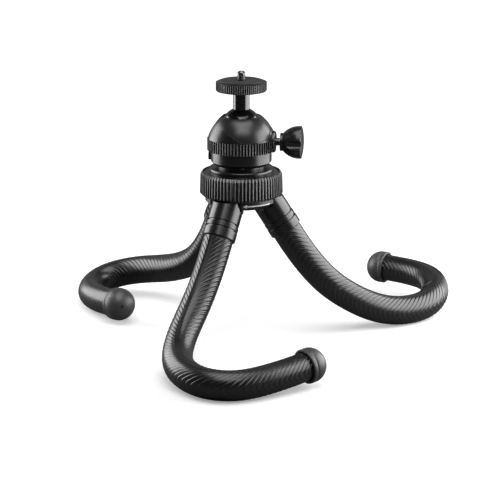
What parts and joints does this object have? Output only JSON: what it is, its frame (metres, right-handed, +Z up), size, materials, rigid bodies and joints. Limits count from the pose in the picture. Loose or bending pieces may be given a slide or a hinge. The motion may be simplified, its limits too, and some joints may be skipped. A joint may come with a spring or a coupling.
{
  "type": "flexible leg tripod",
  "caption": "Compact camera tripod with ribbed bendable rubber legs, a knurled lock ring and a ball head with a drop notch.",
  "frame": {"origin": "centre of the camera seat, on the top face of the pad", "axes": "+Z up, along the camera screw; +X to the picture's right, along the right leg; +Y away from the viewer"},
  "size_m": [0.2997, 0.2891, 0.2065],
  "materials": {
    "plate_metal": "satin black anodised aluminium",
    "pad_rubber": "fine-grained mid-grey rubber",
    "dark_steel": "blackened steel",
    "pan_screw_steel": "black oxide",
    "ball_metal": "glossy black hard anodised aluminium",
    "seat_plastic": "natural acetal, hidden",
    "knurled_metal": "satin black, straight knurl",
    "dome_metal": "satin black",
    "base_metal": "satin black",
    "knob_plastic": "moulded black plastic",
    "collar_metal": "satin black",
    "ring_metal": "satin black, coarse ribs",
    "hub_metal": "satin black",
    "arrow_paint": "white printed mark",
    "ferrule_metal": "satin black",
    "link_plastic": "black acetal, hidden in the legs",
    "sleeve_rubber": "matte black ribbed rubber",
    "cap_rubber": "soft black rubber"
  },
  "bodies": {
    "hub": {"hub_body": "hub_metal", "hub_collar": "collar_metal", "hub_cover": "knob_plastic", "hub_screws": "dark_steel", "pan_bolt": "dark_steel", "pan_washer": "seat_plastic", "leg_pins": "dark_steel", "turn_arrow": "arrow_paint"},
    "lock_ring": {"lock_ring": "ring_metal"},
    "head": {"head_base": "base_metal", "head_housing": "dome_metal", "knurled_band": "knurled_metal", "knob_boss": "base_metal", "base_screws": "dark_steel", "pan_screw": "pan_screw_steel"},
    "ball_seat": {"ball_seat": "seat_plastic"},
    "ball": {"ball_stem": "ball_metal", "plate_clip": "dark_steel"},
    "plate": {"camera_plate": "plate_metal", "plate_pad": "pad_rubber", "camera_screw": "dark_steel"},
    "clamp_pad": {"clamp_pad": "seat_plastic"},
    "clamp_knob": {"clamp_knob": "knob_plastic", "clamp_screw": "dark_steel"},
    "front_leg_1": {"front_ferrule": "ferrule_metal", "front_links_1": "link_plastic", "front_sleeve_1": "sleeve_rubber"},
    "front_leg_2": {"front_links_2": "link_plastic", "front_sleeve_2": "sleeve_rubber"},
    "front_leg_3": {"front_links_3": "link_plastic", "front_sleeve_3": "sleeve_rubber"},
    "front_leg_4": {"front_links_4": "link_plastic", "front_sleeve_4": "sleeve_rubber"},
    "front_leg_5": {"front_links_5": "link_plastic", "front_sleeve_5": "sleeve_rubber", "front_foot_cap": "cap_rubber"},
    "right_leg_1": {"right_ferrule": "ferrule_metal", "right_links_1": "link_plastic", "right_sleeve_1": "sleeve_rubber"},
    "right_leg_2": {"right_links_2": "link_plastic", "right_sleeve_2": "sleeve_rubber"},
    "right_leg_3": {"right_links_3": "link_plastic", "right_sleeve_3": "sleeve_rubber"},
    "right_leg_4": {"right_links_4": "link_plastic", "right_sleeve_4": "sleeve_rubber"},
    "right_leg_5": {"right_links_5": "link_plastic", "right_sleeve_5": "sleeve_rubber", "right_foot_cap": "cap_rubber"},
    "left_leg_1": {"left_ferrule": "ferrule_metal", "left_links_1": "link_plastic", "left_sleeve_1": "sleeve_rubber"},
    "left_leg_2": {"left_links_2": "link_plastic", "left_sleeve_2": "sleeve_rubber"},
    "left_leg_3": {"left_links_3": "link_plastic", "left_sleeve_3": "sleeve_rubber"},
    "left_leg_4": {"left_links_4": "link_plastic", "left_sleeve_4": "sleeve_rubber"},
    "left_leg_5": {"left_links_5": "link_plastic", "left_sleeve_5": "sleeve_rubber", "left_foot_cap": "cap_rubber"}
  },
  "joints": [
    {"name": "lock_turn", "type": "hinge", "parent": "hub", "child": "lock_ring", "pos_m": [0, 0, -0.0789], "axis": [0, 0, 1], "range_deg": [0, 120]},
    {"name": "head_pan", "type": "hinge", "parent": "hub", "child": "head", "pos_m": [0, 0, -0.064], "axis": [0, 0, 1], "continuous": true},
    {"name": "seat_tilt", "type": "hinge", "parent": "head", "child": "ball_seat", "pos_m": [0, 0, -0.0357], "axis": [-0.9903, 0.1392, 0], "range_deg": [-20, 20]},
    {"name": "ball_tilt", "type": "hinge", "parent": "ball_seat", "child": "ball", "pos_m": [0, 0, -0.0357], "axis": [-0.1392, -0.9903, 0], "range_deg": [-20, 90]},
    {"name": "plate_spin", "type": "hinge", "parent": "ball", "child": "plate", "pos_m": [0, 0, -0.0079], "axis": [0, 0, 1], "continuous": true},
    {"name": "clamp_travel", "type": "slide", "parent": "head", "child": "clamp_pad", "axis": [0.9903, -0.1392, 0], "range_m": [0, 0.001]},
    {"name": "clamp_turn", "type": "hinge", "parent": "clamp_pad", "child": "clamp_knob", "pos_m": [0, 0, -0.0465], "axis": [0.9903, -0.1392, 0], "range_deg": [0, 360]},
    {"name": "front_fold", "type": "hinge", "parent": "hub", "child": "front_leg_1", "pos_m": [-0.00775, -0.01342, -0.0978], "axis": [0.866, -0.5, 0], "range_deg": [0, 32]},
    {"name": "front_flex_1", "type": "hinge", "parent": "front_leg_1", "child": "front_leg_2", "pos_m": [-0.02979, -0.05128, -0.14995], "axis": [-0.9107, 0.4029, 0.0914], "range_deg": [-22, 14]},
    {"name": "front_flex_2", "type": "hinge", "parent": "front_leg_2", "child": "front_leg_3", "pos_m": [-0.04509, -0.08662, -0.17886], "axis": [-0.7084, -0.1829, 0.6818], "range_deg": [-22, 14]},
    {"name": "front_flex_3", "type": "hinge", "parent": "front_leg_3", "child": "front_leg_4", "pos_m": [-0.03847, -0.13255, -0.18833], "axis": [-0.0968, -0.1228, 0.9877], "range_deg": [-22, 14]},
    {"name": "front_flex_4", "type": "hinge", "parent": "front_leg_4", "child": "front_leg_5", "pos_m": [0.00155, -0.15172, -0.18894], "axis": [-0.0055, -0.1521, 0.9883], "range_deg": [-22, 14]},
    {"name": "right_fold", "type": "hinge", "parent": "hub", "child": "right_leg_1", "pos_m": [0.0155, 0, -0.0978], "axis": [0, 1, 0], "range_deg": [0, 32]},
    {"name": "right_flex_1", "type": "hinge", "parent": "right_leg_1", "child": "right_leg_2", "pos_m": [0.05903, 0.0018, -0.15013], "axis": [0.4724, -0.8309, 0.2941], "range_deg": [-22, 14]},
    {"name": "right_flex_2", "type": "hinge", "parent": "right_leg_2", "child": "right_leg_3", "pos_m": [0.09633, 0.01228, -0.17905], "axis": [0.44, -0.859, 0.2617], "range_deg": [-22, 14]},
    {"name": "right_flex_3", "type": "hinge", "parent": "right_leg_3", "child": "right_leg_4", "pos_m": [0.13853, 0.03283, -0.18887], "axis": [0.3194, -0.4443, 0.837], "range_deg": [-22, 14]},
    {"name": "right_flex_4", "type": "hinge", "parent": "right_leg_4", "child": "right_leg_5", "pos_m": [0.15469, 0.0747, -0.18024], "axis": [-0.207, -0.1987, 0.9579], "range_deg": [-22, 14]},
    {"name": "left_fold", "type": "hinge", "parent": "hub", "child": "left_leg_1", "pos_m": [-0.00775, 0.01342, -0.0978], "axis": [-0.866, -0.5, 0], "range_deg": [0, 32]},
    {"name": "left_flex_1", "type": "hinge", "parent": "left_leg_1", "child": "left_leg_2", "pos_m": [-0.03109, 0.05221, -0.14878], "axis": [0.7583, 0.6408, 0.1199], "range_deg": [-22, 14]},
    {"name": "left_flex_2", "type": "hinge", "parent": "left_leg_2", "child": "left_leg_3", "pos_m": [-0.05742, 0.08599, -0.171], "axis": [0.3364, 0.6258, 0.7037], "range_deg": [-22, 14]},
    {"name": "left_flex_3", "type": "hinge", "parent": "left_leg_3", "child": "left_leg_4", "pos_m": [-0.09731, 0.1097, -0.18176], "axis": [-0.2379, -0.0372, 0.9706], "range_deg": [-22, 14]},
    {"name": "left_flex_4", "type": "hinge", "parent": "left_leg_4", "child": "left_leg_5", "pos_m": [-0.12142, 0.07642, -0.18906], "axis": [-0.2569, -0.0396, 0.9656], "range_deg": [-22, 14]}
  ],
  "couplings": [
    {"joint": "clamp_turn", "follows": "clamp_travel", "rad_per_m": 6283.2}
  ]
}
